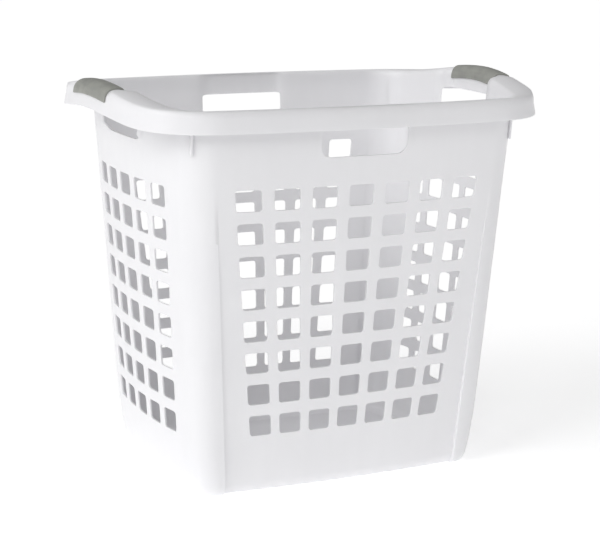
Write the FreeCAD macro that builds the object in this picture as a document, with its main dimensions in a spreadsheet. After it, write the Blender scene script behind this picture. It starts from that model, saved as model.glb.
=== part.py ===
import FreeCAD, Part
import math
import os

import Sketcher

# An open laundry hamper: one moulded basket with slotted walls, a hooked rim and
# four hand holes, and a soft grip moulded over each end handle.
# Millimetres. X runs along the long side, Z up, origin in the middle of the foot.

Vector = FreeCAD.Vector

DRIVING_SIZES = (
    # the tapered walls
    ("base_half_length", 215.8),     # end wall at floor level, before it sweeps in
    ("base_half_width", 148.8),      # front panel at floor level
    ("end_draft", 0.0790),           # outward lean per millimetre of height
    ("front_draft", 0.0848),
    ("end_bow_radius", 640.0),       # plan radius of the slightly bowed walls
    ("front_bow_radius", 2000.0),
    ("base_corner", 28.0),
    ("corner_growth", 0.05),         # corner radius gained per millimetre of height
    ("wall", 2.4),
    ("wall_top", 482.0),             # where the wall runs into the rim
    # the foot
    ("floor_thickness", 2.6),
    ("floor_rise", 4.0),             # raised middle of the floor, leaves a foot ring
    ("foot_ring", 22.0),
    ("end_sweep", 7.5),              # how far the ends curve in towards the foot
    ("sweep_height", 95.0),
    ("edge_round_end", 4.0),
    ("edge_round_front", 6.0),
    ("edge_round_height", 12.0),
    # the corner columns stand proud of the long panels
    ("column_proud", 5.0),
    ("column_drop", 92.0),           # from the wall's top down to where they run out
    ("crease_inset", 47.2),          # from the end wall to the crease, at floor level
    ("crease_slope", 0.0647),
    # the rim: how far its crest and its lip stand out from the top of the wall
    ("crest_overhang_end", 36.42),
    ("crest_overhang_front", 2.13),
    ("crest_corner", 80.0),
    ("lip_overhang_end", 43.82),
    ("lip_overhang_front", 16.73),
    ("lip_corner", 105.0),
    ("crest_rise", 15.7),            # above the wall's top
    ("crest_arch", 17.5),            # the end handles rise by this much
    ("skirt_drop", 11.2),            # below the wall's top
    ("skirt_arch", 13.0),
    ("arch_half_span", 172.0),
    ("shoulder_drop", 12.8),
    ("skirt_flare", 3.0),
    ("inner_round", 8.0),            # round of the rim's inner edge
    ("handle_round", 13.0),          # round of an end handle's outer edge
    # the hand holes; a drop is from the wall's top down to a hole's bottom
    ("hand_half_width", 60.0),
    ("hand_drop_front", 47.5),
    ("hand_height_front", 34.5),
    ("hand_drop_end", 34.0),
    ("hand_height_end", 36.0),
    ("hand_corner", 14.0),
    ("cheek_inset", 7.0),            # the wall over a hole steps outward beside its edge,
    ("cheek_outset", 4.0),           # from this far inside it to this far outside
    ("finger_step_front", 4.0),
    ("finger_step_end", 15.0),
    # the slots
    ("row_count", 8),
    ("row_pitch", 42.0),
    ("top_row_drop", 97.16),         # from the wall's top to the top row's middle
    ("slot_height", 27.2),
    ("slot_corner", 3.5),
    ("front_columns", 7),
    ("front_pitch_top", 50.61),
    ("front_pitch_bottom", 40.73),
    ("front_slot_top", 34.5),
    ("front_slot_bottom", 29.2),
    ("end_columns", 5),
    ("end_pitch_top", 47.07),
    ("end_pitch_bottom", 41.74),
    ("end_slot_top", 33.0),
    ("end_slot_bottom", 29.0),
    # the ribs that keep stacked hampers from jamming
    ("rib_inset", 29.9),             # from the end wall's top
    ("rib_thickness", 2.5),
    ("rib_reach", 5.5),
    ("rib_height", 40.0),            # below the wall's top
    # the grips
    ("grip_gap", 0.5),               # a grip stops this far short of the cheeks
    ("grip_thickness", 3.0),
    ("grip_drop", 15.0),             # from the crest down to the grip's edges
)

RIM_ROOT_LAP = 0.2       # the rim's root is this much thicker than the wall, each side
RIM_ROOT_DROP = 12.0     # how far the rim's root runs down over the wall
CHEEK_RISE = 6.0         # the cheeks start this far above a hand hole's bottom
GRIP_BITE = 1.2          # how far the grip's blank dips into the handle before the cut
GRIP_FLARE = 0.4         # the grip's outer edge follows the skirt's flare
CREASE_FADE = 0.97       # the crease runs out just short of where the faces meet
ARC_NEAR = 0.29          # a quarter round's middle point, as shares of its two legs
ARC_FAR = 0.71
LAND_OVERLAP = 0.3       # the level top is never shorter than this
ROUND_LEAST = 0.4        # nor the rim's inner round narrower than this
SIDE_STATIONS = 6
CORNER_STATIONS = 6
CLEAR_OF_ALL = 500.0     # half-length of cutters that pass through the whole basket
RIB_TAIL = 2.5           # a rib's blank runs this many reaches into the wall

doc = FreeCAD.newDocument("LaundryHamper")
sheet = doc.addObject("Spreadsheet::Sheet", "sizes")
for row, (alias, value) in enumerate(DRIVING_SIZES, 1):
    sheet.set("A%d" % row, alias)
    sheet.set("B%d" % row, str(value))
    sheet.setAlias("B%d" % row, alias)
doc.recompute()


def size(alias):
    return float(getattr(sheet, alias))


WALL_TOP = size("wall_top")
CREST_HEIGHT = WALL_TOP + size("crest_rise")
SKIRT_BOTTOM = WALL_TOP - size("skirt_drop")
HAND_BOTTOM_FRONT = WALL_TOP - size("hand_drop_front")
HAND_TOP_FRONT = HAND_BOTTOM_FRONT + size("hand_height_front")
HAND_BOTTOM_END = WALL_TOP - size("hand_drop_end")
HAND_TOP_END = HAND_BOTTOM_END + size("hand_height_end")
CHEEK_INNER = size("hand_half_width") - size("cheek_inset")
CHEEK_OUTER = size("hand_half_width") + size("cheek_outset")
ROOT_HALF_LENGTH = size("base_half_length") + size("end_draft") * WALL_TOP
ROOT_HALF_WIDTH = size("base_half_width") + size("front_draft") * WALL_TOP

COLUMN_TOP = "(sizes.wall_top - sizes.column_drop)"
CREASE_AT_FLOOR = "sizes.base_half_length - sizes.crease_inset"


# ---------------------------------------------------------------- plan outline

def corner_of_outline(half_length, half_width, corner, end_bow, front_bow):
    """Centre of the corner arc that is tangent to both bowed sides, and the angles
    of the outward normal where it meets the end and the long side."""
    end_x = half_length - end_bow
    front_y = half_width - front_bow
    to_end = end_bow - corner
    to_front = front_bow - corner
    apart = math.hypot(end_x, front_y)
    along = (to_end ** 2 - to_front ** 2 + apart ** 2) / (2 * apart)
    aside = math.sqrt(to_end ** 2 - along ** 2)
    unit_x = -end_x / apart
    unit_y = front_y / apart
    foot_x = end_x + along * unit_x
    foot_y = along * unit_y
    meets = ((foot_x - aside * unit_y, foot_y + aside * unit_x),
             (foot_x + aside * unit_y, foot_y - aside * unit_x))
    centre = max(meets, key=sum)
    end_angle = math.atan2(centre[1], centre[0] - end_x)
    front_angle = math.atan2(centre[1] - front_y, centre[0])
    return centre, end_angle, front_angle


def outline_sketch(name, height, half_length, half_width, corner):
    """A closed outline of four bowed sides and four corner arcs, level with the floor.
    Its four sizes are expressions on the sheet."""
    sketch = doc.addObject("Sketcher::SketchObject", name)
    sketch.setExpression("Placement.Base.z", height)
    long_half = sketch.evalExpression(half_length)
    wide_half = sketch.evalExpression(half_width)
    round_off = sketch.evalExpression(corner)
    end_bow = size("end_bow_radius")
    front_bow = size("front_bow_radius")
    centre, end_angle, front_angle = corner_of_outline(
        long_half, wide_half, round_off, end_bow, front_bow)
    half_turn = math.pi
    arcs = (
        (long_half - end_bow, 0, end_bow, -end_angle, end_angle),
        (centre[0], centre[1], round_off, end_angle, front_angle),
        (0, wide_half - front_bow, front_bow, front_angle, half_turn - front_angle),
        (-centre[0], centre[1], round_off, half_turn - front_angle, half_turn - end_angle),
        (end_bow - long_half, 0, end_bow, half_turn - end_angle, half_turn + end_angle),
        (-centre[0], -centre[1], round_off, half_turn + end_angle, half_turn + front_angle),
        (0, front_bow - wide_half, front_bow, half_turn + front_angle, 2 * half_turn - front_angle),
        (centre[0], -centre[1], round_off, 2 * half_turn - front_angle, 2 * half_turn - end_angle),
    )
    for middle_x, middle_y, radius, start, stop in arcs:
        circle = Part.Circle(Vector(middle_x, middle_y, 0), Vector(0, 0, 1), radius)
        sketch.addGeometry(Part.ArcOfCircle(circle, start, stop), False)
    for index in range(len(arcs)):
        following = (index + 1) % len(arcs)
        sketch.addConstraint(Sketcher.Constraint("Tangent", index, 2, following, 1))
    axis_across, axis_up = -1, -2
    centre_point, start_point, origin = 3, 1, -1
    sides = (
        (0, axis_across, Vector(long_half, 0, 0), "DistanceX", half_length, "end_bow_radius"),
        (4, axis_across, Vector(-long_half, 0, 0), "DistanceX", half_length, "end_bow_radius"),
        (2, axis_up, Vector(0, wide_half, 0), "DistanceY", half_width, "front_bow_radius"),
        (6, axis_up, Vector(0, -wide_half, 0), "DistanceY", half_width, "front_bow_radius"),
    )
    for arc, axis, middle, kind, reach, bow in sides:
        sketch.addConstraint(Sketcher.Constraint("PointOnObject", arc, centre_point, axis))
        radius = sketch.addConstraint(Sketcher.Constraint("Radius", arc, size(bow)))
        sketch.setExpression("Constraints[%d]" % radius, "sizes." + bow)
        point = sketch.addGeometry(Part.Point(middle), True)
        sketch.addConstraint(Sketcher.Constraint("PointOnObject", point, start_point, axis))
        sketch.addConstraint(Sketcher.Constraint("PointOnObject", point, start_point, arc))
        ends = (origin, 1, point, 1) if sum(middle) > 0 else (point, 1, origin, 1)
        distance = sketch.addConstraint(Sketcher.Constraint(kind, *ends, middle.Length))
        sketch.setExpression("Constraints[%d]" % distance, reach)
    for arc in (1, 3, 5, 7):
        radius = sketch.addConstraint(Sketcher.Constraint("Radius", arc, round_off))
        sketch.setExpression("Constraints[%d]" % radius, corner)
    return sketch


def tapered_solid(name, inset, rise, front_extra):
    """The tapered shell's outline, `inset` inside the outer face and its floor `rise`
    higher, as a stack of level outlines from the rounded foot to the rim root.
    `front_extra` is what the long sides gain over the panel face at a height."""
    heights = []
    for degrees in (90, 60, 30, 0):
        level = "sizes.edge_round_height * (1 - sin(%d deg)) + %s" % (degrees, rise)
        heights.append((level, degrees))
    for share in (0.33, 0.66, 1.0):
        heights.append(("sizes.sweep_height * %.2f" % share, 0))
    heights.append((COLUMN_TOP, 0))
    heights.append(("sizes.wall_top", 0))
    sections = []
    for index, (level, degrees) in enumerate(heights):
        sweep = "0"
        if index < 6:
            sweep = "sizes.end_sweep * (1 - (%s) / sizes.sweep_height)^2" % level
        round_end = "sizes.edge_round_end * (1 - cos(%d deg))" % degrees
        round_front = "sizes.edge_round_front * (1 - cos(%d deg))" % degrees
        half_length = "sizes.base_half_length + sizes.end_draft * (%s) - %s - %s - (%s)" % (
            level, sweep, round_end, inset)
        half_width = "sizes.base_half_width + sizes.front_draft * (%s) - %s - (%s)" % (
            level, round_front, inset)
        if index < len(heights) - 2:
            half_width += " + (%s) * (1 - (%s) / %s)" % (front_extra, level, COLUMN_TOP)
        corner = "sizes.base_corner + sizes.corner_growth * (%s) - %s - (%s)" % (
            level, round_end, inset)
        sections.append(outline_sketch("%s_outline_%d" % (name, index), level,
                                       half_length, half_width, corner))
    loft = doc.addObject("Part::Loft", name)
    loft.Sections = sections
    loft.Solid = True
    loft.Ruled = True
    return loft


# ------------------------------------------------------- flat profiles, extruded

ON_FRONT = FreeCAD.Rotation(Vector(1, 0, 0), 90)          # sketch X, Y lie along X, Z


def mirrored_trapezoid(name, turn, bottom, top, half_bottom, half_top):
    """A trapezoid standing on the height `bottom`, symmetric about the upright axis."""
    sketch = doc.addObject("Sketcher::SketchObject", name)
    sketch.Placement = FreeCAD.Placement(Vector(0, 0, 0), turn)
    sketch.setExpression("Placement.Base.z", bottom)
    tall = "(%s) - (%s)" % (top, bottom)
    height, wide_low, wide_high = [
        sketch.evalExpression(text) for text in (tall, half_bottom, half_top)]
    corners = [Vector(wide_low, 0, 0), Vector(wide_high, height, 0),
               Vector(-wide_high, height, 0), Vector(-wide_low, 0, 0)]
    for index, corner in enumerate(corners):
        sketch.addGeometry(Part.LineSegment(corner, corners[(index + 1) % 4]), False)
    for index in range(4):
        sketch.addConstraint(Sketcher.Constraint("Coincident", index, 2, (index + 1) % 4, 1))
    right_side, top_side, bottom_side = 0, 1, 3
    for side in (top_side, bottom_side):
        sketch.addConstraint(Sketcher.Constraint("Symmetric", side, 1, side, 2, -2))
    sketch.addConstraint(Sketcher.Constraint("PointOnObject", right_side, 1, -1))
    measures = (
        ("DistanceX", 1, wide_low, half_bottom),
        ("DistanceX", 2, wide_high, half_top),
        ("DistanceY", 2, height, tall),
    )
    for kind, point, value, text in measures:
        index = sketch.addConstraint(
            Sketcher.Constraint(kind, -1, 1, right_side, point, value))
        sketch.setExpression("Constraints[%d]" % index, text)
    return sketch


def extruded_both_ways(name, profile, direction, length):
    prism = doc.addObject("Part::Extrusion", name)
    prism.Base = profile
    prism.DirMode = "Custom"
    prism.Dir = direction
    prism.LengthFwd = length
    prism.Symmetric = True
    prism.Solid = True
    return prism


def cut(name, base, tool):
    result = doc.addObject("Part::Cut", name)
    result.Base = base
    result.Tool = tool
    return result


def fused(name, *pieces):
    result = doc.addObject("Part::MultiFuse", name)
    result.Shapes = list(pieces)
    return result


def common(name, *pieces):
    result = doc.addObject("Part::MultiCommon", name)
    result.Shapes = list(pieces)
    return result


def scripted(name, shape):
    feature = doc.addObject("Part::Feature", name)
    feature.Shape = shape
    feature.Placement = FreeCAD.Placement()
    return feature


# ----------------------------------------------------------------- the walls

def shell_solid(name, inset, rise):
    """Corner columns outside the creases, the long panels set back between them."""
    columns = tapered_solid(name + "_columns", inset, rise, "sizes.column_proud")
    panels = tapered_solid(name + "_panels", inset, rise, "0")
    crease_high = "%s * %.2f" % (COLUMN_TOP, CREASE_FADE)
    half_low = "%s + %s" % (CREASE_AT_FLOOR, inset)
    half_high = "%s + sizes.crease_slope * %s + %s" % (CREASE_AT_FLOOR, crease_high, inset)
    profile = mirrored_trapezoid(name + "_creases", ON_FRONT, "0", crease_high,
                                 half_low, half_high)
    between = extruded_both_ways(name + "_between_creases", profile, Vector(0, 1, 0),
                                 2 * CLEAR_OF_ALL)
    outside = cut(name + "_column_part", columns, between)
    inside = common(name + "_panel_part", panels, between)
    return fused(name, outside, inside)


def foot_pad(name, inset, low, high):
    """A level pad with the foot's outline, drawn in by `inset`."""
    sections = []
    for index, level in enumerate((low, high)):
        half_length = "sizes.base_half_length - sizes.end_sweep - (%s)" % inset
        half_width = "sizes.base_half_width - (%s)" % inset
        corner = "sizes.base_corner - (%s) * 0.5" % inset
        sections.append(outline_sketch("%s_outline_%d" % (name, index), level,
                                       half_length, half_width, corner))
    loft = doc.addObject("Part::Loft", name)
    loft.Sections = sections
    loft.Solid = True
    loft.Ruled = True
    return loft


outer_walls = shell_solid("outer_walls", "0", "0")
inner_walls = shell_solid("inner_walls", "sizes.wall", "sizes.floor_thickness")
hollow_walls = cut("hollow_walls", outer_walls, inner_walls)
floor_pad = foot_pad("floor_pad", "sizes.foot_ring - sizes.wall", "sizes.floor_thickness * 0.5",
                     "sizes.floor_thickness + sizes.floor_rise")
foot_hollow = foot_pad("foot_hollow", "sizes.foot_ring", "-1", "sizes.floor_rise")
floored_walls = cut("floored_walls", fused("walls_and_pad", hollow_walls, floor_pad), foot_hollow)


# ------------------------------------------------------------------- the rim

def arch_share(aside):
    """1 over the middle of an end handle, falling smoothly to 0 at the arch's foot."""
    span = size("arch_half_span")
    if abs(aside) >= span:
        return 0.0
    return math.cos(math.pi * aside / (2 * span)) ** 2


class Outline:
    """A level outline of bowed sides and round corners, by the angle of its outward normal."""

    def __init__(self, half_length, half_width, corner):
        self.end_bow = size("end_bow_radius")
        self.front_bow = size("front_bow_radius")
        self.corner = corner
        self.end_middle = (half_length - self.end_bow, 0)
        self.front_middle = (0, half_width - self.front_bow)
        self.centre, self.end_angle, self.front_angle = corner_of_outline(
            half_length, half_width, corner, self.end_bow, self.front_bow)

    def arcs(self):
        quarter = math.pi / 2
        return ((self.end_middle, self.end_bow, -quarter, self.end_angle),
                (self.centre, self.corner, self.end_angle, self.front_angle),
                (self.front_middle, self.front_bow, self.front_angle, 2 * quarter))

    def point(self, angle):
        for middle, radius, start, stop in self.arcs():
            if start <= angle <= stop:
                return Vector(middle[0] + radius * math.cos(angle),
                              middle[1] + radius * math.sin(angle), 0)

    def reach(self, start, out):
        """How far this outline lies from `start` in the level direction `out`."""
        found = None
        for middle, radius, first, last in self.arcs():
            apart = start - Vector(middle[0], middle[1], 0)
            along = apart.dot(out)
            root = along ** 2 - apart.dot(apart) + radius ** 2
            if root < 0:
                continue
            distance = math.sqrt(root) - along
            hit = apart + out * distance
            miss = max(first - math.atan2(hit.y, hit.x), math.atan2(hit.y, hit.x) - last, 0)
            if found is None or miss < found[0]:
                found = (miss, distance)
        return found[1]


def overhanging(end, front, corner):
    """An outline that stands out from the top of the wall."""
    return Outline(ROOT_HALF_LENGTH + end, ROOT_HALF_WIDTH + front, corner)


ROOT = overhanging(0, 0, size("base_corner") + size("corner_growth") * WALL_TOP)
CREST = overhanging(size("crest_overhang_end"), size("crest_overhang_front"), size("crest_corner"))
LIP = overhanging(size("lip_overhang_end"), size("lip_overhang_front"), size("lip_corner"))


def smooth(share):
    share = min(1.0, max(0.0, share))
    return share * share * (3 - 2 * share)


class RimStation:
    """One upright section of the rim: where it stands and how far each part reaches."""

    def __init__(self, angle, step, handle_round):
        self.at = ROOT.point(angle)
        self.out = Vector(math.cos(angle), math.sin(angle), 0)
        turned = smooth((angle - ROOT.end_angle) / (ROOT.front_angle - ROOT.end_angle))
        share = arch_share(self.at.y) * (1 - turned)
        self.step = step
        self.draft = size("end_draft") + (size("front_draft") - size("end_draft")) * turned
        self.lip = LIP.reach(self.at, self.out)
        self.side = self.lip - size("skirt_flare")
        self.crest = CREST.reach(self.at, self.out)
        if handle_round > 0:
            self.crest = self.side - handle_round
        self.crest_height = CREST_HEIGHT + size("crest_arch") * share
        self.skirt_height = SKIRT_BOTTOM + size("skirt_arch") * share
        self.turn = self.crest_height - size("shoulder_drop")
        self.crest = max(self.crest, self.inner_face(self.turn) + ROUND_LEAST)

    def place(self, reach, height):
        return self.at + self.out * reach + Vector(0, 0, height)

    def wire(self, runs):
        """`runs` are points (reach, height); a run of three points is an arc."""
        edges = []
        for run in runs:
            points = [self.place(*point) for point in run]
            if len(points) == 3:
                edges.append(Part.Arc(*points).toShape())
            else:
                edges.append(Part.LineSegment(*points).toShape())
        return Part.Wire(edges)

    def inner_face(self, height):
        lap = size("wall") + RIM_ROOT_LAP
        return self.step - lap + self.draft * (height - WALL_TOP)

    def outer_face(self, height):
        return self.step + RIM_ROOT_LAP + self.draft * (height - WALL_TOP)

    def rim_section(self, leg_bottom):
        """The rim's thin hooked section, from its root up over the crest to the lip."""
        wall = size("wall")
        high, turn, low = self.crest_height, self.turn, self.skirt_height
        side, lip = self.side, self.lip
        face = self.inner_face(turn)
        back = self.outer_face(turn)
        inner_round = min(size("inner_round"), self.crest - face)
        land = face + inner_round
        over_inside, over_outside = roll_middles(face, land, self.crest, side, turn, high)
        top_under = high - wall
        under_side = side - wall
        under_crest = min(self.crest, under_side - wall)
        under_land = min(max(land, back + wall), under_crest)
        under_inside, under_outside = roll_middles(
            back, under_land, under_crest, under_side, turn, top_under)
        return self.wire((
            ((self.inner_face(leg_bottom), leg_bottom), (face, turn)),
            ((face, turn), over_inside, (land, high)),
            ((land, high), (self.crest + LAND_OVERLAP, high)),
            ((self.crest + LAND_OVERLAP, high), over_outside, (side, turn)),
            ((side, turn), (lip, low)),
            ((lip, low), (lip - wall, low)),
            ((lip - wall, low), (under_side, turn)),
            ((under_side, turn), under_outside, (under_crest + LAND_OVERLAP, top_under)),
            ((under_crest + LAND_OVERLAP, top_under), (under_land, top_under)),
            ((under_land, top_under), under_inside, (back, turn)),
            ((back, turn), (self.outer_face(leg_bottom), leg_bottom)),
            ((self.outer_face(leg_bottom), leg_bottom), (self.inner_face(leg_bottom), leg_bottom)),
        ))

    def grip_section(self):
        """A saddle over the crest; its inside dips a little into the handle."""
        edge = self.crest_height - size("grip_drop")
        face = self.inner_face(self.turn)
        land = face + size("inner_round")
        rolls = []
        for grow in (size("grip_thickness"), -GRIP_BITE):
            high = self.crest_height + grow
            near, far = face - grow, self.side + grow
            over_inside, over_outside = roll_middles(
                near, land, self.crest, far, self.turn, high)
            rolls.append((
                ((near, edge), (near, self.turn)),
                ((near, self.turn), over_inside, (land, high)),
                ((land, high), (self.crest, high)),
                ((self.crest, high), over_outside, (far, self.turn)),
                ((far, self.turn), (far + GRIP_FLARE, edge)),
            ))
        outside, inside = rolls
        back = [tuple(reversed(run)) for run in reversed(inside)]
        close_outer = (outside[-1][-1], inside[-1][-1])
        close_inner = (inside[0][0], outside[0][0])
        return self.wire(list(outside) + [close_outer] + back + [close_inner])


def roll_middles(near, land, crest, far, turn, high):
    """The middle points of the two quarter rounds that join the level top to the sides."""
    drop = high - turn
    inside = (near + ARC_NEAR * (land - near), high - ARC_NEAR * drop)
    outside = (crest + ARC_FAR * (far - crest), high - ARC_NEAR * drop)
    return inside, outside


def side_angle(aside, bow):
    return math.asin(aside / bow)


def end_angles(low, high, count):
    bow = size("end_bow_radius")
    steps = [low + (high - low) * index / count for index in range(count + 1)]
    return [side_angle(step, bow) for step in steps]


def front_angles(low, high, count):
    bow = size("front_bow_radius")
    steps = [low + (high - low) * index / count for index in range(count + 1)]
    return [math.pi / 2 - side_angle(step, bow) for step in steps]


def lofted(wires, ruled=False):
    return Part.makeLoft(wires, True, ruled)


def quarter_rim():
    """The rim of one quarter: end handle, cheek, corner, cheek, front handle."""
    half_turn = math.pi / 2
    end_step = size("finger_step_end")
    front_step = size("finger_step_front")
    rounded = size("handle_round")
    root = WALL_TOP - RIM_ROOT_DROP
    end_leg = HAND_BOTTOM_END + CHEEK_RISE
    front_leg = HAND_BOTTOM_FRONT + CHEEK_RISE
    end_turn = side_angle(CHEEK_INNER, ROOT.end_bow), side_angle(CHEEK_OUTER, ROOT.end_bow)
    front_turn = [half_turn - side_angle(aside, ROOT.front_bow)
                  for aside in (CHEEK_OUTER, CHEEK_INNER)]

    handle_end = [RimStation(angle, end_step, rounded).rim_section(HAND_TOP_END)
                  for angle in end_angles(0, CHEEK_INNER, SIDE_STATIONS)]
    cheek_end = [RimStation(end_turn[0], end_step, rounded).rim_section(end_leg),
                 RimStation(end_turn[1], 0, 0).rim_section(end_leg)]
    turn = end_angles(CHEEK_OUTER, ROOT.point(ROOT.end_angle).y, SIDE_STATIONS)
    for index in range(1, CORNER_STATIONS):
        share = index / CORNER_STATIONS
        turn.append(ROOT.end_angle + (ROOT.front_angle - ROOT.end_angle) * share)
    turn += reversed(front_angles(CHEEK_OUTER, ROOT.point(ROOT.front_angle).x, SIDE_STATIONS))
    corner = [RimStation(angle, 0, 0).rim_section(root) for angle in turn]
    cheek_front = [RimStation(front_turn[0], 0, 0).rim_section(front_leg),
                   RimStation(front_turn[1], front_step, 0).rim_section(front_leg)]
    handle_front = [RimStation(angle, front_step, 0).rim_section(HAND_TOP_FRONT)
                    for angle in front_angles(0, CHEEK_INNER, SIDE_STATIONS)]
    return (
        lofted(handle_end),
        lofted(cheek_end, True),
        lofted(corner),
        lofted(cheek_front, True),
        lofted(handle_front),
    )


def all_quarters(pieces):
    """Mirrors the pieces of one quarter to the other three."""
    across = [piece.mirror(Vector(0, 0, 0), Vector(1, 0, 0)) for piece in pieces]
    half = list(pieces) + across
    behind = [piece.mirror(Vector(0, 0, 0), Vector(0, 1, 0)) for piece in half]
    return half + behind


rim_parts = all_quarters(quarter_rim())
rim = scripted("rim", rim_parts[0].multiFuse(rim_parts[1:]))


# -------------------------------------------------------- slots and hand holes

def rounded_face(corners, radii, plane):
    """A flat face with rounded corners; `plane` places a corner (across, height)."""
    count = len(corners)
    leaving = []
    arriving = []
    tops = []
    for index in range(count):
        corner = Vector(corners[index][0], corners[index][1], 0)
        before = Vector(*corners[index - 1], 0) - corner
        after = Vector(*corners[(index + 1) % count], 0) - corner
        turn = before.getAngle(after)
        before.normalize()
        after.normalize()
        back_off = radii[index] / math.tan(turn / 2)
        middle = corner + (before + after).normalize() * (radii[index] / math.sin(turn / 2))
        arriving.append(corner + before * back_off)
        leaving.append(corner + after * back_off)
        tops.append(middle + (corner - middle).normalize() * radii[index])
    edges = []
    for index in range(count):
        following = (index + 1) % count
        start, top, stop = [plane(point.x, point.y)
                            for point in (arriving[index], tops[index], leaving[index])]
        edges.append(Part.Arc(start, top, stop).toShape())
        edges.append(Part.LineSegment(stop, plane(arriving[following].x, arriving[following].y))
                     .toShape())
    return Part.Face(Part.Wire(edges))


def across_front(across, height):
    return Vector(across, -CLEAR_OF_ALL, height)


def across_end(across, height):
    return Vector(-CLEAR_OF_ALL, across, height)


def slot_prisms(columns, pitch_top, pitch_bottom, width_top, width_bottom, plane, through):
    """A fan of slots: columns and widths close up towards the foot."""
    rows = int(size("row_count"))
    top = WALL_TOP - size("top_row_drop")
    fall = size("row_pitch") * (rows - 1)
    half_height = size("slot_height") / 2
    prisms = []
    for row in range(rows):
        middle = top - size("row_pitch") * row
        for column in range(columns):
            place = column - (columns - 1) / 2
            corners = []
            for height, side in ((middle - half_height, -1), (middle - half_height, 1),
                                 (middle + half_height, 1), (middle + half_height, -1)):
                down = (top - height) / fall
                pitch = pitch_top + (pitch_bottom - pitch_top) * down
                width = width_top + (width_bottom - width_top) * down
                corners.append((place * pitch + side * width / 2, height))
            face = rounded_face(corners, [size("slot_corner")] * 4, plane)
            prisms.append(face.extrude(through))
    return Part.makeCompound(prisms)


def hand_hole_face(bottom, top, plane):
    half = size("hand_half_width")
    corners = ((-half, bottom), (half, bottom), (half, top), (-half, top))
    low_round = size("hand_corner")
    high_round = size("slot_corner")
    return rounded_face(corners, (low_round, low_round, high_round, high_round), plane)


front_slots = scripted("front_slots", slot_prisms(
    int(size("front_columns")), size("front_pitch_top"), size("front_pitch_bottom"),
    size("front_slot_top"), size("front_slot_bottom"), across_front,
    Vector(0, 2 * CLEAR_OF_ALL, 0)))
end_slots = scripted("end_slots", slot_prisms(
    int(size("end_columns")), size("end_pitch_top"), size("end_pitch_bottom"),
    size("end_slot_top"), size("end_slot_bottom"), across_end,
    Vector(2 * CLEAR_OF_ALL, 0, 0)))

# the wall behind each handle goes, because the rim's stepped-out root takes its place
wall_gap_front = scripted("wall_gap_front", hand_hole_face(
    HAND_BOTTOM_FRONT, CREST_HEIGHT + size("crest_arch"), across_front)
    .extrude(Vector(0, 2 * CLEAR_OF_ALL, 0)))
wall_gap_end = scripted("wall_gap_end", hand_hole_face(
    HAND_BOTTOM_END, CREST_HEIGHT + size("crest_arch"), across_end)
    .extrude(Vector(2 * CLEAR_OF_ALL, 0, 0)))
hand_hole_front = scripted("hand_hole_front", hand_hole_face(
    HAND_BOTTOM_FRONT, HAND_TOP_FRONT, across_front)
    .extrude(Vector(0, 2 * CLEAR_OF_ALL, 0)))


def end_hand_hole():
    """Through the stepped-out root only, so that the skirt outside it stays whole."""
    leg = ROOT.point(0).x + size("finger_step_end")
    reach = (leg + LIP.point(0).x) / 2

    def at_reach(across, height):
        return Vector(-reach, across, height)

    face = hand_hole_face(HAND_BOTTOM_END, HAND_TOP_END, at_reach)
    return face.extrude(Vector(2 * reach, 0, 0))


hand_hole_end = scripted("hand_hole_end", end_hand_hole())

gapped = cut("walls_gapped_front", floored_walls, wall_gap_front)
gapped = cut("walls_gapped_end", gapped, wall_gap_end)


# ------------------------------------------------------------------ the ribs

def stacking_ribs():
    """Four small upright ribs under the rim, one beside each corner."""
    place = ROOT_HALF_LENGTH - size("rib_inset")
    thick = size("rib_thickness")
    reach = size("rib_reach")
    wall_y = ROOT.centre[1] + math.sqrt(ROOT.corner ** 2 - (place - ROOT.centre[0]) ** 2)
    tall = size("rib_height")
    bottom = WALL_TOP - tall
    depth = reach * (1 + RIB_TAIL)
    ribs = []
    for side_x in (-1, 1):
        for side_y in (-1, 1):
            rib = Part.makeBox(thick, depth, tall)
            middle = wall_y + reach - depth / 2
            rib.translate(Vector(side_x * place - thick / 2, side_y * middle - depth / 2, bottom))
            ribs.append(rib)
    return Part.makeCompound(ribs)


rib_blanks = scripted("rib_blanks", stacking_ribs())
ribs = cut("stacking_ribs", rib_blanks, inner_walls)

# ---------------------------------------------------------------- the pieces

whole = fused("walls_and_rim", gapped, rim, ribs)
whole = cut("with_front_hand_holes", whole, hand_hole_front)
holed = cut("with_hand_holes", whole, hand_hole_end)
slotted = cut("with_front_slots", holed, front_slots)
basket = cut("basket", slotted, end_slots)


def grip_blank():
    """The saddle on the +X handle, before the handle is cut out of it."""
    step = size("finger_step_end")
    half = [RimStation(angle, step, size("handle_round")).grip_section()
            for angle in end_angles(0, CHEEK_INNER - size("grip_gap"), SIDE_STATIONS)]
    ahead = lofted(half)
    return ahead.fuse(ahead.mirror(Vector(0, 0, 0), Vector(0, 1, 0)))


right_blank = scripted("grip_blank_right", grip_blank())
left_blank = doc.addObject("Part::Mirroring", "grip_blank_left")
left_blank.Source = right_blank
left_blank.Normal = Vector(1, 0, 0)
grip_right = cut("grip_right", right_blank, holed)
grip_left = cut("grip_left", left_blank, holed)

PIECES = (("basket", basket), ("grip_left", grip_left), ("grip_right", grip_right))
doc.recompute()

for item in doc.Objects:
    if {"Invalid", "Error"} & set(item.State):
        raise RuntimeError("%s did not build: %s" % (item.Name, item.State))
for node, piece in PIECES:
    piece.Label = node
    shape = piece.Shape
    if shape.isNull() or not shape.isValid() or len(shape.Solids) != 1:
        raise RuntimeError("%s is not one valid solid" % node)

os.makedirs("parts", exist_ok=True)
for node, piece in PIECES:
    piece.Shape.exportStep("parts/%s.step" % node)
    box = piece.Shape.BoundBox
    print("%-12s %8.1f cm3  x %.1f to %.1f  y %.1f to %.1f  z %.1f to %.1f" % (
        node, piece.Shape.Volume / 1000, box.XMin, box.XMax, box.YMin, box.YMax,
        box.ZMin, box.ZMax))
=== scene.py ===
import math

import bmesh
import bpy
from mathutils import Matrix, Vector


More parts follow.
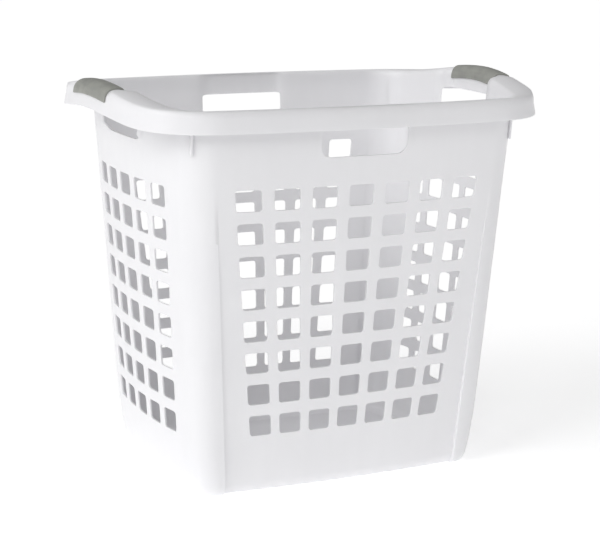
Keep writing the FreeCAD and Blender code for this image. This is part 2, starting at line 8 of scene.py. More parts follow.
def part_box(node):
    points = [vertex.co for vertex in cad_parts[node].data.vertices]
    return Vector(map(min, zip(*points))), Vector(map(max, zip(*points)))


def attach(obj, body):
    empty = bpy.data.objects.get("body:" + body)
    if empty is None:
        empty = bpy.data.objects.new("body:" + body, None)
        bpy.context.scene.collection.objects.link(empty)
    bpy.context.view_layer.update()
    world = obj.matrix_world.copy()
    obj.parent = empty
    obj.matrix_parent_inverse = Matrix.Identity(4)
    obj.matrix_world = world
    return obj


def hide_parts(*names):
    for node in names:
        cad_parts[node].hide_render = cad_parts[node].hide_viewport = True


# An open laundry hamper: a white moulded basket with fanned slots, a hooked rim
# with four hand holes, and a soft grey grip over each end handle. Metres.

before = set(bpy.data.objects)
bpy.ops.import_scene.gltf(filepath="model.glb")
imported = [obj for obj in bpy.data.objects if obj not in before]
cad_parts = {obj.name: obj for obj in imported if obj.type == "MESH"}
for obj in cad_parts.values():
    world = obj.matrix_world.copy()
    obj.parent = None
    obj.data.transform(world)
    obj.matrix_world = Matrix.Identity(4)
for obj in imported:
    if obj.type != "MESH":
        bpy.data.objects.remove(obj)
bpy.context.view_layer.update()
basket_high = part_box("basket")[1]

# ------------------------------------------------------------------ sizes

END_BOW = 0.640                  # plan radius of the bowed ends and long sides
FRONT_BOW = 2.000
BASE_HALF_LENGTH = 0.2158
BASE_HALF_WIDTH = 0.1488
END_DRAFT = 0.0790
FRONT_DRAFT = 0.0848
BASE_CORNER = 0.028
CORNER_GROWTH = 0.05
WALL = 0.0024
FOOT = WALL + 0.0002             # inner face of the foot ring, clear of the floor
ROOT_HEIGHT = 0.482
END_SWEEP = 0.0075
SWEEP_HEIGHT = 0.095
EDGE_ROUND_END = 0.004
EDGE_ROUND_FRONT = 0.006
EDGE_ROUND_HEIGHT = 0.012
COLUMN_PROUD = 0.005
COLUMN_TOP = 0.390
CREASE_BASE = 0.1686
CREASE_SLOPE = 0.0647
CREASE_WIDTH = 0.0005
CREASE_HOLD = 0.003              # lines this near the crease keep its shading crisp
CREASE_END = 0.05                # height over which the crease widens into the rim
FLOOR_CREASE_WIDTH = 0.008
RIM_CREASE_WIDTH = 0.006
FLOOR_RISE = 0.004
FLOOR_TOP = WALL + FLOOR_RISE
FOOT_RING = 0.022
FOOT_TREAD = 0.011               # inset of the ring's middle row
RISE_FOOT = 0.0015               # the raised floor's riser leans in by these
RISE_TOP = 0.004
RISE_LIP = 0.0008
LOW_ROWS = (0.032, 0.048, 0.064)     # plain rows between the foot and the slots
PLAIN_ROW = (0.414, 0.420)           # and one above them, front and end
MERGE = 0.00001
LEVEL = 0.0001                   # heights nearer than this are the same

LIP_HALF_LENGTH = basket_high.x
LIP_HALF_WIDTH = basket_high.y
LIP_CORNER = 0.105
CREST_HALF_LENGTH = 0.2903
CREST_HALF_WIDTH = 0.1918
CREST_CORNER = 0.080
CREST_ARCH = 0.0175
CREST_HEIGHT = basket_high.z - CREST_ARCH
SKIRT_BOTTOM = 0.4708
SKIRT_ARCH = 0.013
ARCH_HALF_SPAN = 0.172
SHOULDER_DROP = 0.0128
SKIRT_FLARE = 0.003
INNER_ROUND = 0.008
HANDLE_ROUND = 0.013
GRIP_DROP = 0.015                # from the crest down to the grip's edges
GRIP_FLARE = 0.0004              # its outer edge follows the skirt's flare
GRIP_EDGE_ROUND = 0.0011
GRIP_STATIONS = 20
GRIP_TURNS = 26
LAND_LEAST = 0.001               # the level top is never narrower than this
LAND_CROWN = 0.02                # its rise in the middle, as a share of its width

HAND_HALF_WIDTH = 0.060
HAND_CORNER = 0.014
HAND_TOP_TUCK = 0.001            # the upper corners are drawn in by this
CHEEK_FOOT = 0.046               # where a hand hole's round lower corner starts
CHEEK_INNER = 0.053
CHEEK_OUTER = 0.0645
CHEEK_START = 0.003              # the step begins this far above a hole's bottom
CHEEK_RISE = 0.009
GRIP_GAP = 0.0005
STEP_FRONT = 0.004
STEP_END = 0.015

RIB_PLACE = 0.224
RIB_THICKNESS = 0.0025
RIB_REACH = 0.0055
RIB_BOTTOM = 0.442
RIB_TOP = 0.478
EDGE_ROUND = 0.0006              # softened moulded edges

ROW_COUNT = 8
ROW_PITCH = 0.042
TOP_ROW = 0.38484
SLOT_HEIGHT = 0.0272
SLOT_CORNER = 0.0035
SLOT_TOP = TOP_ROW + SLOT_HEIGHT / 2
FRONT_FAN = (0.05061, 0.04073, 0.0345, 0.0292)   # pitch and width, top and bottom
END_FAN = (0.04707, 0.04174, 0.0330, 0.0290)


def mix(low, high, share):
    return low + (high - low) * share


def smooth(share):
    share = min(1.0, max(0.0, share))
    return share * share * (3 - 2 * share)


# ------------------------------------------------- level outlines of the basket

class Outline:
    """Bowed sides and round corners, by the angle of the outward normal."""

    def __init__(self, half_length, half_width, corner):
        end_x = half_length - END_BOW
        front_y = half_width - FRONT_BOW
        to_end = END_BOW - corner
        to_front = FRONT_BOW - corner
        apart = math.hypot(end_x, front_y)
        along = (to_end ** 2 - to_front ** 2 + apart ** 2) / (2 * apart)
        aside = math.sqrt(to_end ** 2 - along ** 2)
        foot = Vector((end_x - end_x / apart * along, front_y / apart * along))
        self.centre = foot + Vector((-front_y, -end_x)) / apart * aside
        self.corner = corner
        self.end_middle = Vector((end_x, 0))
        self.front_middle = Vector((0, front_y))
        self.end_angle = math.atan2(self.centre.y, self.centre.x - end_x)
        self.front_angle = math.atan2(self.centre.y - front_y, self.centre.x)

    def arcs(self):
        return ((self.end_middle, END_BOW, -1.0, self.end_angle),
                (self.centre, self.corner, self.end_angle, self.front_angle),
                (self.front_middle, FRONT_BOW, self.front_angle, 3.0))

    def point(self, angle):
        for middle, radius, start, stop in self.arcs():
            if start <= angle <= stop:
                return middle + radius * Vector((math.cos(angle), math.sin(angle)))

    def angle_at_x(self, x):
        """Normal's angle where the long side or the corner passes x."""
        angle = math.acos(x / FRONT_BOW)
        if angle < self.front_angle:
            angle = math.acos(min(1.0, (x - self.centre.x) / self.corner))
        return angle

    def angle_at_y(self, y):
        angle = math.asin(y / END_BOW)
        if angle > self.end_angle:
            angle = math.asin(min(1.0, (y - self.centre.y) / self.corner))
        return angle

    def reach(self, start, out):
        """How far this outline lies from start in the level direction out."""
        best = None
        for middle, radius, first, last in self.arcs():
            apart = start - middle
            along = apart.dot(out)
            root = along ** 2 - apart.dot(apart) + radius ** 2
            if root < 0:
                continue
            distance = math.sqrt(root) - along
            hit = apart + out * distance
            turn = math.atan2(hit.y, hit.x)
            miss = max(first - turn, turn - last, 0)
            if best is None or miss < best[0]:
                best = (miss, distance)
        return best[1]


def wall_outline(height, round_share=0.0, proud=False):
    """The wall's inner face at a height."""
    sweep = 0.0
    if height < SWEEP_HEIGHT:
        sweep = END_SWEEP * (1 - height / SWEEP_HEIGHT) ** 2
    half_length = BASE_HALF_LENGTH + END_DRAFT * height - sweep - WALL
    half_length -= EDGE_ROUND_END * round_share
    half_width = BASE_HALF_WIDTH + FRONT_DRAFT * height - WALL
    half_width -= EDGE_ROUND_FRONT * round_share
    if proud and height < COLUMN_TOP:
        half_width += COLUMN_PROUD * (1 - height / COLUMN_TOP)
    corner = BASE_CORNER + CORNER_GROWTH * height - WALL
    corner -= EDGE_ROUND_END * round_share
    return Outline(half_length, half_width, corner)


CREST = Outline(CREST_HALF_LENGTH, CREST_HALF_WIDTH, CREST_CORNER)
LIP = Outline(LIP_HALF_LENGTH, LIP_HALF_WIDTH, LIP_CORNER)
ROOT = wall_outline(ROOT_HEIGHT)


# --------------------------------------- upright lines of the wall, one quarter

def slot_edge(fan, column, side, nudge, height):
    """Where a slot's edge stands at a height: the fan closes up towards the foot."""
    pitch_top, pitch_bottom, width_top, width_bottom = fan
    down = (TOP_ROW - height) / (ROW_PITCH * (ROW_COUNT - 1))
    pitch = mix(pitch_top, pitch_bottom, down)
    width = mix(width_top, width_bottom, down)
    return column * pitch + side * width / 2 + nudge


# column, side of the slot, nudge off its edge, and where the line stands at the hand holes
FRONT_LINES = (
    (0, 0, 0, 0.0),
    (0, 1, -SLOT_CORNER, 0.015), (0, 1, 0, 0.030),
    (1, -1, 0, CHEEK_FOOT), (1, -1, SLOT_CORNER, CHEEK_INNER),
    (1, 1, -SLOT_CORNER, HAND_HALF_WIDTH), (1, 1, 0, CHEEK_OUTER),
    (2, -1, 0, 0.080), (2, -1, SLOT_CORNER, 0.090),
    (2, 1, -SLOT_CORNER, 0.108), (2, 1, 0, 0.118),
    (3, -1, 0, 0.133), (3, -1, SLOT_CORNER, 0.143),
    (3, 1, -SLOT_CORNER, 0.160), (3, 1, 0, 0.174),
)
END_LINES = (
    (2, 1, 0.008, 0.124),
    (2, 1, 0, 0.112), (2, 1, -SLOT_CORNER, 0.100),
    (2, -1, SLOT_CORNER, 0.087), (2, -1, 0, 0.076),
    (1, 1, 0, CHEEK_OUTER), (1, 1, -SLOT_CORNER, HAND_HALF_WIDTH),
    (1, -1, SLOT_CORNER, CHEEK_INNER), (1, -1, 0, CHEEK_FOOT),
    (0, 1, 0, 0.030), (0, 1, -SLOT_CORNER, 0.015),
    (0, 0, 0, 0.0),
)
CORNER_LINES = 10
FIRST_CREASE = len(FRONT_LINES)
CREASE_LINES = 3                 # beside the crease on the panel, its foot, its edge
FIRST_CORNER = FIRST_CREASE + CREASE_LINES
FIRST_END = FIRST_CORNER + CORNER_LINES
LINE_COUNT = FIRST_END + len(END_LINES)


def end_share(line):
    """0 on the long side, 1 on the end, blended round the corner."""
    return smooth((line - FIRST_CREASE) / (FIRST_END - FIRST_CREASE))


# ------------------------------------------------------- rows, from floor to lip

HAND_FRONT = (0.4345, 0.4386, 0.4485, 0.4655, 0.4690)
HAND_END = (0.4480, 0.4521, 0.4620, 0.4805, 0.4840)


def wall_rows():
    """Heights of the wall's rows on the long side and on the end, with the inset
    of the floor rows and the share of the foot's edge round."""
    rows = [
        (FLOOR_TOP, FLOOR_TOP, FOOT_RING + RISE_TOP, 1.0),
        (FLOOR_TOP - RISE_LIP, FLOOR_TOP - RISE_LIP, FOOT_RING + RISE_FOOT, 1.0),
        (FOOT, FOOT, FOOT_RING, 1.0),
        (FOOT, FOOT, FOOT_TREAD, 1.0),
    ]
    for degrees in (90, 60, 30, 0):
        turn = math.radians(degrees)
        height = FOOT + EDGE_ROUND_HEIGHT * (1 - math.sin(turn))
        rows.append((height, height, 0.0, 1 - math.cos(turn)))
    for height in LOW_ROWS:
        rows.append((height, height, 0.0, 0.0))
    slots = len(rows)
    for row in range(ROW_COUNT):
        middle = TOP_ROW - ROW_PITCH * (ROW_COUNT - 1 - row)
        low = middle - SLOT_HEIGHT / 2
        high = middle + SLOT_HEIGHT / 2
        for height in (low, low + SLOT_CORNER, high - SLOT_CORNER, high):
            rows.append((height, height, 0.0, 0.0))
    rows.append((*PLAIN_ROW, 0.0, 0.0))
    hand = len(rows)
    for front, end in zip(HAND_FRONT, HAND_END):
        rows.append((front, end, 0.0, 0.0))
    return rows, slots, hand


ROWS, FIRST_SLOT_ROW, FIRST_HAND_ROW = wall_rows()
FLOOR_ROWS = 4
LAST_HAND_ROW = FIRST_HAND_ROW + 4
INNER_TURNS = (0.0, 22.5, 45.0, 67.5, 90.0)
LANDS = (0.5, 1.0)
SHOULDER_TURNS = (18.0, 36.0, 54.0, 72.0, 90.0)
SKIRTS = (0.35, 0.7, 0.9, 1.0)
ROW_TOTAL = len(ROWS) + len(INNER_TURNS) + len(LANDS) + len(SHOULDER_TURNS) + len(SKIRTS)


def hand_bottom(line):
    return mix(HAND_FRONT[0], HAND_END[0], end_share(line))


def along_wall(line, row):
    """Where a line stands along its own side, and its height, at a row of the wall."""
    front, end = ROWS[row][:2]
    height = mix(front, end, end_share(line))
    if line < FIRST_CREASE:
        fan, spec = FRONT_FAN, FRONT_LINES[line]
    elif line >= FIRST_END:
        fan, spec = END_FAN, END_LINES[line - FIRST_END]
    else:
        return None, height
    column, side, nudge, upper = spec
    rise = smooth((height - SLOT_TOP) / (hand_bottom(line) - SLOT_TOP))
    place = mix(slot_edge(fan, column, side, nudge, height), upper, rise)
    slot_row = (row - FIRST_SLOT_ROW) % 4
    in_slots = FIRST_SLOT_ROW <= row < FIRST_SLOT_ROW + 4 * ROW_COUNT
    if in_slots and slot_row in (0, 3) and nudge == 0 and side != 0:
        # the slot's corner is drawn in, so that its edge runs round it
        tuck = SLOT_CORNER * (1 - math.sqrt(0.5))
        place -= side * tuck
        height += tuck if slot_row == 0 else -tuck
    if FIRST_HAND_ROW <= row <= FIRST_HAND_ROW + 2:
        # the hand hole's round lower corner takes three lines and three rows
        step = {CHEEK_FOOT: 0, CHEEK_INNER: 1, HAND_HALF_WIDTH: 2}.get(upper)
        level = row - FIRST_HAND_ROW
        turn = None
        if level == 0 and step is not None:
            turn = 22.5 * step
        elif step == 2:
            turn = 45.0 + 22.5 * level
        if turn is not None:
            angle = math.radians(turn)
            place = HAND_HALF_WIDTH - HAND_CORNER * (1 - math.sin(angle))
            height = hand_bottom(line) + HAND_CORNER * (1 - math.cos(angle))
    if row == LAST_HAND_ROW and upper == HAND_HALF_WIDTH:
        place -= HAND_TOP_TUCK
        height -= HAND_TOP_TUCK
    return place, height


def cheek_step(line, place, height):
    """How far the wall has stepped outward for the fingers at this place."""
    if place is None:
        return 0.0
    aside = smooth((CHEEK_OUTER - place) / (CHEEK_OUTER - CHEEK_INNER))
    above = smooth((height - hand_bottom(line) - CHEEK_START) / CHEEK_RISE)
    full = STEP_FRONT if line < FIRST_CREASE else STEP_END
    return full * aside * above


def line_angle(line, outline, place, height, crease_width=CREASE_WIDTH):
    """The normal's angle of a line on an outline."""
    if line < FIRST_CREASE:
        return outline.angle_at_x(place)
    if line >= FIRST_END:
        return outline.angle_at_y(place)
    crease = CREASE_BASE + CREASE_SLOPE * min(height, COLUMN_TOP)
    near_rim = smooth((height - COLUMN_TOP) / CREASE_END)
    width = mix(crease_width, RIM_CREASE_WIDTH, near_rim)
    if line < FIRST_CORNER:
        aside = (-CREASE_HOLD, 0.0, width)[line - FIRST_CREASE]
        return outline.angle_at_x(crease + aside)
    start = outline.angle_at_x(crease + width + CREASE_HOLD)
    share = (line - FIRST_CORNER) / (CORNER_LINES - 1)
    return mix(start, outline.end_angle, share)


def wall_point(line, row):
    inset, round_share = ROWS[row][2:]
    if row < FLOOR_ROWS:
        # the floor follows the foot's outline, with the creases' steps smoothed out
        place, height = along_wall(line, FLOOR_ROWS)
        outline = wall_outline(height, 1.0)
        at = outline.point(line_angle(line, outline, place, height, FLOOR_CREASE_WIDTH))
        inward = (1 - inset / BASE_HALF_LENGTH, 1 - inset / BASE_HALF_WIDTH)
        return Vector((at.x * inward[0], at.y * inward[1])), None, ROWS[row][0]
    place, height = along_wall(line, row)
    proud = line >= FIRST_CORNER - 1
    outline = wall_outline(height, round_share, proud)
    angle = line_angle(line, outline, place, height)
    out = Vector((math.cos(angle), math.sin(angle)))
    at = outline.point(angle) + out * cheek_step(line, place, height)
    return at, out, height


def arch_share(aside):
    """1 over the middle of an end handle, 0 at the arch's foot."""
    return math.cos(math.pi * aside / (2 * ARCH_HALF_SPAN)) ** 2


class RimLine:
    """The rim over one upright line: from the wall over the crest to the lip."""

    def __init__(self, line):
        upper = None
        if line < FIRST_CREASE:
            upper = FRONT_LINES[line][3]
        elif line >= FIRST_END:
            upper = END_LINES[line - FIRST_END][3]
        angle = line_angle(line, ROOT, upper, ROOT_HEIGHT)
        turned = smooth((angle - ROOT.end_angle) / (ROOT.front_angle - ROOT.end_angle))
        aside = ROOT.point(angle).y
        share = 0.0
        if aside < ARCH_HALF_SPAN:
            share = arch_share(aside) * (1 - turned)
        self.high = CREST_HEIGHT + CREST_ARCH * share
        self.low = SKIRT_BOTTOM + SKIRT_ARCH * share
        self.turn = self.high - SHOULDER_DROP
        outline = wall_outline(self.turn)
        angle = line_angle(line, outline, upper, self.turn)
        self.out = Vector((math.cos(angle), math.sin(angle)))
        step = cheek_step(line, upper, self.turn)
        self.at = outline.point(angle) + self.out * step
        self.lip = LIP.reach(self.at, self.out)
        self.side = self.lip - SKIRT_FLARE
        self.crest = CREST.reach(self.at, self.out)
        if line >= FIRST_END:
            self.crest = mix(self.crest, self.side - HANDLE_ROUND, step / STEP_END)

    def place(self, reach, height):
        spot = self.at + self.out * reach
        return Vector((spot.x, spot.y, height))

    def profile(self):
        """Points of the rim's upper face, as reach and height."""
        drop = SHOULDER_DROP
        inner = min(INNER_ROUND, self.crest - LAND_LEAST)
        points = []
        for degrees in INNER_TURNS:
            turn = math.radians(degrees)
            points.append((inner * (1 - math.cos(turn)), self.turn + drop * math.sin(turn)))
        for share in LANDS:
            crown = LAND_CROWN * (self.crest - inner) * math.sin(math.pi * share)
            points.append((mix(inner, self.crest, share), self.high + crown))
        for degrees in SHOULDER_TURNS:
            turn = math.radians(degrees)
            points.append((mix(self.crest, self.side, math.sin(turn)),
                           self.high - drop * (1 - math.cos(turn))))
        for share in SKIRTS:
            points.append((mix(self.side, self.lip, share), mix(self.turn, self.low, share)))
        return points


# --------------------------------------------------------------- mesh helpers

def piece_from(mesh, name, material):
    data = bpy.data.meshes.new(name)
    mesh.to_mesh(data)
    mesh.free()
    for face in data.polygons:
        face.use_smooth = True
    piece = bpy.data.objects.new(name, data)
    bpy.context.scene.collection.objects.link(piece)
    data.materials.append(material)
    return piece


def thicken(piece, thickness):
    wall = piece.modifiers.new("wall", "SOLIDIFY")
    wall.thickness = thickness
    wall.offset = 1.0
    wall.use_even_offset = True
    wall.use_quality_normals = True


def round_edges(piece, width, degrees, segments=2):
    edge = piece.modifiers.new("edge_round", "BEVEL")
    edge.width = width
    edge.segments = segments
    edge.limit_method = "ANGLE"
    edge.angle_limit = math.radians(degrees)
    edge.harden_normals = True


def mirrored_quarters(mesh):
    for axis in ("X", "Y"):
        everything = mesh.verts[:] + mesh.edges[:] + mesh.faces[:]
        bmesh.ops.mirror(mesh, geom=everything, matrix=Matrix.Identity(4),
                         merge_dist=MERGE, axis=axis)
    bmesh.ops.remove_doubles(mesh, verts=mesh.verts, dist=MERGE)
    bmesh.ops.recalc_face_normals(mesh, faces=mesh.faces)


# ------------------------------------------------------------------ the basket

def is_open(line, row):
    """True for a grid cell that lies in a slot or a hand hole; a cell is named
    by its lower line and row."""
    slot_row = (row - FIRST_SLOT_ROW) % 4
    in_slots = FIRST_SLOT_ROW <= row < FIRST_SLOT_ROW + 4 * ROW_COUNT and slot_row < 3
    in_hand = FIRST_HAND_ROW <= row < LAST_HAND_ROW
    if line < FIRST_CREASE - 1:
        first, second = FRONT_LINES[line], FRONT_LINES[line + 1]
    elif FIRST_END <= line < LINE_COUNT - 1:
        second, first = END_LINES[line - FIRST_END], END_LINES[line + 1 - FIRST_END]
    else:
        return False
    same_slot = first[0] == second[0] and not (second[1] == 1 and second[2] > 0)
    return (in_slots and same_slot) or (in_hand and second[3] <= HAND_HALF_WIDTH)


def basket_quarter():
    mesh = bmesh.new()
    lines = LINE_COUNT - 1
    rows = ROW_TOTAL - 1
    bmesh.ops.create_grid(mesh, x_segments=lines, y_segments=rows, size=1)

    def cell(place):
        return (place.x + 1) / 2 * lines, (place.y + 1) / 2 * rows

    opened = []
    for face in mesh.faces:
        line, row = cell(face.calc_center_median())
        if is_open(int(line), int(row)):
            opened.append(face)
    rims = [RimLine(line) for line in range(LINE_COUNT)]
    profiles = [rim.profile() for rim in rims]
    for vert in mesh.verts:
        line, row = (round(value) for value in cell(vert.co))
        if row < len(ROWS):
            at, out, height = wall_point(line, row)
            vert.co = (at.x, at.y, height)
        else:
            vert.co = rims[line].place(*profiles[line][row - len(ROWS)])
    bmesh.ops.delete(mesh, geom=opened, context="FACES")
    return mesh


def close_floor(mesh):
    """Fills the middle of the floor inside its raised edge."""
    edge = [side for side in mesh.edges if side.is_boundary
            and all(abs(vert.co.z - FLOOR_TOP) < LEVEL for vert in side.verts)]
    floor = bmesh.ops.edgeloop_fill(mesh, edges=edge)["faces"][0]
    mesh.normal_update()
    beside = [face for face in floor.edges[0].link_faces if face is not floor][0]
    if floor.normal.dot(beside.normal) < 0:
        bmesh.ops.reverse_faces(mesh, faces=[floor])


def face_inward(mesh):
    """The sheet is the wall's inner face, so its lowest wall faces look inward."""
    floor = min(mesh.faces, key=lambda face: face.calc_center_median().length)
    if floor.normal.z < 0:
        bmesh.ops.reverse_faces(mesh, faces=mesh.faces)


def make_basket(material):
    mesh = basket_quarter()
    mirrored_quarters(mesh)
    close_floor(mesh)
    mesh.normal_update()
    face_inward(mesh)
    basket = piece_from(mesh, "moulded_basket", material)
    thicken(basket, -WALL)
    round_edges(basket, EDGE_ROUND, 58)
    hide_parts("basket")
    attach(basket, "root")


def make_ribs(material):
    """Four thin upright ribs under the rim, one beside each corner."""
    mesh = bmesh.new()
    wall = ROOT.point(ROOT.angle_at_x(RIB_PLACE)).y + WALL
    foot = wall - FRONT_DRAFT * (ROOT_HEIGHT - RIB_BOTTOM)
    for side_x in (-1, 1):
        for side_y in (-1, 1):
            rib = bmesh.ops.create_cube(mesh, size=1)["verts"]
            for vert in rib:
                top = vert.co.z > 0
                outer = vert.co.y > 0
                root = wall if top else foot
                height = RIB_TOP if top else RIB_BOTTOM
                depth = root + RIB_REACH if outer else root - WALL / 2
                vert.co = (side_x * RIB_PLACE + vert.co.x * RIB_THICKNESS,
                           side_y * depth, height)
    bmesh.ops.recalc_face_normals(mesh, faces=mesh.faces)
    ribs = piece_from(mesh, "stacking_ribs", material)
    round_edges(ribs, EDGE_ROUND, 30)
    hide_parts("basket")
    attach(ribs, "root")


# ------------------------------------------------------------------ the grips

def make_grip(name, node, side, material):
    """A soft saddle over one end handle, thinner at its edges."""
    half = CHEEK_INNER - GRIP_GAP
    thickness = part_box(node)[1].z - basket_high.z
    mesh = bmesh.new()
    bmesh.ops.create_grid(mesh, x_segments=GRIP_STATIONS, y_segments=GRIP_TURNS, size=1)
    for vert in mesh.verts:
        across = vert.co.x * half
        share = (vert.co.y + 1) / 2
        vert.co = grip_point(across, share, thickness, side)
    bmesh.ops.recalc_face_normals(mesh, faces=mesh.faces)
    middle = min(mesh.faces, key=lambda face: abs(face.calc_center_median().y)
                 - face.calc_center_median().z)
    if middle.normal.z < 0:
        bmesh.ops.reverse_faces(mesh, faces=mesh.faces)
    grip = piece_from(mesh, name, material)
    thicken(grip, -thickness)
    round_edges(grip, GRIP_EDGE_ROUND, 50, 3)
    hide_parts(node)
    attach(grip, "root")


def grip_point(across, share, thickness, side):
    """A point of the saddle's outer face; share runs from its inner edge to its outer."""
    aside = abs(across)
    root_angle = ROOT.angle_at_y(aside)
    high = CREST_HEIGHT + CREST_ARCH * arch_share(ROOT.point(root_angle).y)
    turn = high - SHOULDER_DROP
    outline = wall_outline(turn)
    angle = outline.angle_at_y(aside)
    out = Vector((math.cos(angle), math.sin(angle)))
    at = outline.point(angle) + out * STEP_END
    far = LIP.reach(at, out) - SKIRT_FLARE
    crest = far - HANDLE_ROUND
    top = high + thickness
    edge = high - GRIP_DROP
    points = [(-thickness, edge), (-thickness, turn)]
    for degrees in range(15, 91, 15):
        roll = math.radians(degrees)
        points.append((mix(-thickness, INNER_ROUND, 1 - math.cos(roll)),
                       turn + (top - turn) * math.sin(roll)))
    for degrees in range(0, 91, 15):
        roll = math.radians(degrees)
        points.append((mix(crest, far + thickness, math.sin(roll)),
                       top - (top - turn) * (1 - math.cos(roll))))
    points.append((far + thickness + GRIP_FLARE, edge))
    lengths = [0.0]
    for before, after in zip(points, points[1:]):
        lengths.append(lengths[-1] + math.dist(before, after))
    wanted = share * lengths[-1]
    reach, height = points[-1]
    for index in range(len(points) - 1):
        if wanted <= lengths[index + 1]:
            part = (wanted - lengths[index]) / (lengths[index + 1] - lengths[index])
            reach = mix(points[index][0], points[index + 1][0], part)
            height = mix(points[index][1], points[index + 1][1], part)
            break
    spot = at + out * reach
    return Vector((side * spot.x, math.copysign(spot.y, across), height))


# -------------------------------------------------------------- the materials

def new_material(name):
    material = bpy.data.materials.new(name)
    material.use_nodes = True
    tree = material.node_tree
    shader = tree.nodes["Principled BSDF"]
    place = tree.nodes.new("ShaderNodeTexCoord").outputs["Object"]
    return material, tree, shader, place


def mapped(tree, place, scale):
    node = tree.nodes.new("ShaderNodeMapping")
    node.inputs["Scale"].default_value = scale
    tree.links.new(place, node.inputs["Vector"])
    return node.outputs["Vector"]


def noise(tree, place, scale, detail, roughness=0.5):
    node = tree.nodes.new("ShaderNodeTexNoise")
    node.inputs["Scale"].default_value = scale
    node.inputs["Detail"].default_value = detail
    node.inputs["Roughness"].default_value = roughness
    tree.links.new(place, node.inputs["Vector"])
    return node.outputs["Fac"]


def ramp(tree, value, stops):
    node = tree.nodes.new("ShaderNodeValToRGB")
    steps = node.color_ramp.elements
    while len(steps) < len(stops):
        steps.new(0.5)
    for step, (position, colour) in zip(steps, stops):
        step.position = position
        step.color = (*colour, 1)
    tree.links.new(value, node.inputs["Fac"])
    return node.outputs["Color"]


def spread(tree, value, low, high, new_low, new_high):
    node = tree.nodes.new("ShaderNodeMapRange")
    node.inputs["From Min"].default_value = low
    node.inputs["From Max"].default_value = high
    node.inputs["To Min"].default_value = new_low
    node.inputs["To Max"].default_value = new_high
    tree.links.new(value, node.inputs["Value"])
    return node.outputs["Result"]


def blended(tree, share, first, second, kind="MIX"):
    node = tree.nodes.new("ShaderNodeMix")
    node.data_type = "RGBA"
    node.blend_type = kind
    for socket, value in ((node.inputs["Factor"], share), (node.inputs[6], first),
                          (node.inputs[7], second)):
        if isinstance(value, (tuple, float)):
            socket.default_value = value
        else:
            tree.links.new(value, socket)
    return node.outputs[2]


def bumped(tree, height, strength, distance, under=None):
    node = tree.nodes.new("ShaderNodeBump")
    node.inputs["Strength"].default_value = strength
    node.inputs["Distance"].default_value = distance
    tree.links.new(height, node.inputs["Height"])
    if under is not None:
        tree.links.new(under, node.inputs["Normal"])
    return node.outputs["Normal"]


def moulded_white():
    """Clean white moulded plastic: faint clouding, fine satin grain, light scuffs."""
    material, tree, shader, place = new_material("moulded_white")
    clouds = noise(tree, place, 7.0, 3.0)
    colour = ramp(tree, clouds, ((0.30, (0.838, 0.834, 0.856)), (0.70, (0.872, 0.868, 0.888))))
    flow = noise(tree, mapped(tree, place, (60.0, 60.0, 5.0)), 1.0, 2.0)
    colour = blended(tree, spread(tree, flow, 0.35, 0.75, 0.0, 0.25), colour,
                     (0.815, 0.812, 0.830, 1.0))
    specks = noise(tree, place, 420.0, 2.0)
    colour = blended(tree, spread(tree, specks, 0.68, 0.80, 0.0, 0.18), colour,
                     (0.70, 0.70, 0.72, 1.0))
    tree.links.new(colour, shader.inputs["Base Color"])
    rough = noise(tree, place, 34.0, 4.0)
    tree.links.new(spread(tree, rough, 0.3, 0.7, 0.34, 0.48), shader.inputs["Roughness"])
    peel = noise(tree, place, 160.0, 1.0)
    grain = noise(tree, place, 1500.0, 2.0)
    first = bumped(tree, peel, 0.10, 0.0004)
    tree.links.new(bumped(tree, grain, 0.12, 0.0001, first), shader.inputs["Normal"])
    shader.inputs["IOR"].default_value = 1.49
    shader.inputs["Subsurface Weight"].default_value = 0.45
    shader.inputs["Subsurface Radius"].default_value = (1.0, 0.98, 1.0)
    shader.inputs["Subsurface Scale"].default_value = 0.007
    return material


def soft_grey():
    """Soft grey rubbery grip: matt, stippled, with faint lighter streaks of wear."""
    material, tree, shader, place = new_material("soft_grey")
    mottled = noise(tree, place, 60.0, 4.0)
    colour = ramp(tree, mottled, ((0.30, (0.272, 0.276, 0.256)), (0.70, (0.352, 0.356, 0.326))))
    streaks = noise(tree, mapped(tree, place, (220.0, 12.0, 220.0)), 1.0, 2.0)
    colour = blended(tree, spread(tree, streaks, 0.45, 0.75, 0.0, 0.35), colour,
                     (0.40, 0.404, 0.370, 1.0))
    tree.links.new(colour, shader.inputs["Base Color"])
    rough = noise(tree, place, 90.0, 3.0)
    tree.links.new(spread(tree, rough, 0.3, 0.7, 0.52, 0.68), shader.inputs["Roughness"])
    stipple = noise(tree, place, 900.0, 2.0)
    tree.links.new(bumped(tree, stipple, 0.35, 0.0002), shader.inputs["Normal"])
    shader.inputs["IOR"].default_value = 1.5
    return material


def studio_floor():
    material, tree, shader, place = new_material("studio_floor")
    faint = noise(tree, place, 3.0, 2.0)
    colour = ramp(tree, faint, ((0.3, (0.95, 0.95, 0.955)), (0.7, (0.965, 0.965, 0.968))))
    tree.links.new(colour, shader.inputs["Base Color"])
    shader.inputs["Roughness"].default_value = 0.9
    shader.inputs["Specular IOR Level"].default_value = 0.1
    shader.inputs["Emission Color"].default_value = (1.0, 1.0, 1.0, 1.0)
    shader.inputs["Emission Strength"].default_value = FLOOR_GLOW
    return material


# --------------------------------------------------------------- the studio

FLOOR_GLOW = 0.42
SKY_STRENGTH = 0.32
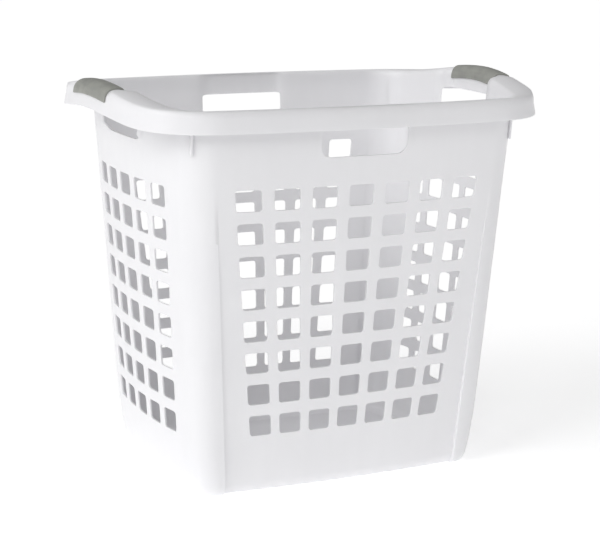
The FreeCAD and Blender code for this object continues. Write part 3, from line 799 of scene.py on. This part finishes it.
# name, strength, angular width in degrees, the way it shines
LAMPS = (
    ("window_left", 1.30, 40.0, (0.84, 0.14, -0.52)),
    ("front_softbox", 0.50, 30.0, (0.30, 0.72, -0.62)),
)

def lay_floor():
    mesh = bmesh.new()
    bmesh.ops.create_grid(mesh, x_segments=1, y_segments=1, size=20)
    floor = piece_from(mesh, "studio_floor", studio_floor())


def light_studio():
    world = bpy.data.worlds.new("studio")
    world.use_nodes = True
    sky = world.node_tree.nodes["Background"]
    sky.inputs["Color"].default_value = (1.0, 1.0, 1.0, 1.0)
    sky.inputs["Strength"].default_value = SKY_STRENGTH
    bpy.context.scene.world = world
    for name, strength, width, towards in LAMPS:
        light = bpy.data.lights.new(name, "SUN")
        light.energy = strength
        light.angle = math.radians(width)
        lamp = bpy.data.objects.new(name, light)
        bpy.context.scene.collection.objects.link(lamp)
        lamp.rotation_euler = Vector(towards).to_track_quat("-Z", "Y").to_euler()


def set_camera():
    """Eye height, a long lens, a little left of square to the long side."""
    camera = bpy.data.cameras.new("camera")
    holder = bpy.data.objects.new("camera", camera)
    bpy.context.scene.collection.objects.link(holder)
    yaw = math.radians(26.23)
    pitch = math.radians(-12.60)
    roll = math.radians(1.02)
    ahead = Vector((math.sin(yaw) * math.cos(pitch), math.cos(yaw) * math.cos(pitch),
                    math.sin(pitch)))
    right = Vector((math.cos(yaw), -math.sin(yaw), 0))
    up = right.cross(ahead)
    across = math.cos(roll) * right + math.sin(roll) * up
    upward = -math.sin(roll) * right + math.cos(roll) * up
    turn = Matrix((across, upward, -ahead)).transposed().to_4x4()
    holder.matrix_world = Matrix.Translation((-1.06428, -2.17084, 0.77835)) @ turn
    camera.sensor_width = 36.0
    camera.lens = 109.95
    camera.clip_end = 60.0
    bpy.context.scene.camera = holder


set_camera()
light_studio()
lay_floor()
bpy.context.scene.view_settings.view_transform = "Standard"
white = moulded_white()
grey = soft_grey()
make_basket(white)
make_ribs(white)
make_grip("soft_grip_right", "grip_right", 1, grey)
make_grip("soft_grip_left", "grip_left", -1, grey)
